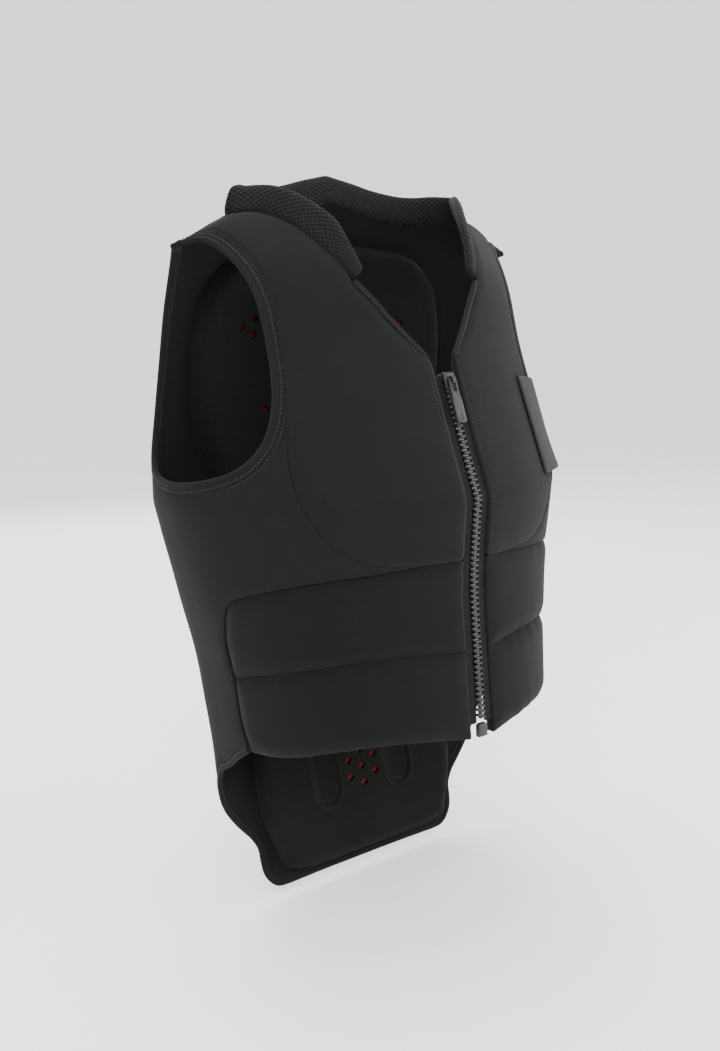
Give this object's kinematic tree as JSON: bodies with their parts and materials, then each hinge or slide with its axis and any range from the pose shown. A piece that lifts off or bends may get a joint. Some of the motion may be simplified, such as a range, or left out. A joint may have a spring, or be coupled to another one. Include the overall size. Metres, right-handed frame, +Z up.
{
  "type": "equestrian body protector",
  "caption": "Black zip-front riding body protector vest with padded chest and belly panels, a mesh collar band and a long foam back protector inside a rounded tail.",
  "frame": {"origin": "midway between the two shoulder straps, at the height where their undersides rest on the shoulders", "axes": "+Z up along the wearer's back, -Y out of the zip front, +X towards the wearer's left"},
  "size_m": [0.385, 0.2281, 0.6209],
  "materials": {
    "softshell": "matt stretch softshell knit",
    "pad_cloth": "matt stretch cloth over foam",
    "lining": "dark warp-knit lining",
    "spacer_mesh": "open spacer mesh",
    "binding": "folded stretch binding",
    "foam": "red closed-cell foam",
    "zip_tape": "woven polyester tape",
    "zip_plastic": "moulded acetal, satin",
    "patch": "smooth flat patch"
  },
  "bodies": {
    "vest": {"chest_panel_left": "softshell", "chest_panel_right": "softshell", "side_panel_left": "softshell", "side_panel_right": "softshell", "belly_pad_upper_left": "pad_cloth", "belly_pad_upper_right": "pad_cloth", "belly_pad_lower_left": "pad_cloth", "belly_pad_lower_right": "pad_cloth", "armhole_binding_left": "binding", "armhole_binding_right": "binding", "neck_binding_left": "binding", "neck_binding_right": "binding", "back_panel": "softshell", "protector_core": "foam", "protector_cover": "lining", "collar_band": "spacer_mesh", "hem_binding": "binding", "zip_tape_left": "zip_tape", "zip_tape_right": "zip_tape", "zip_teeth_left": "zip_plastic", "zip_teeth_right": "zip_plastic", "chest_patch": "patch", "zip_slider": "zip_plastic", "zip_bottom_box": "zip_plastic"},
    "pull": {"zip_pull": "zip_plastic"}
  },
  "joints": [
    {"name": "zip_pull_hinge", "type": "hinge", "parent": "vest", "child": "pull", "pos_m": [0, -0.11874, -0.10455], "axis": [-1, 0, 0], "range_deg": [0, 150]}
  ]
}
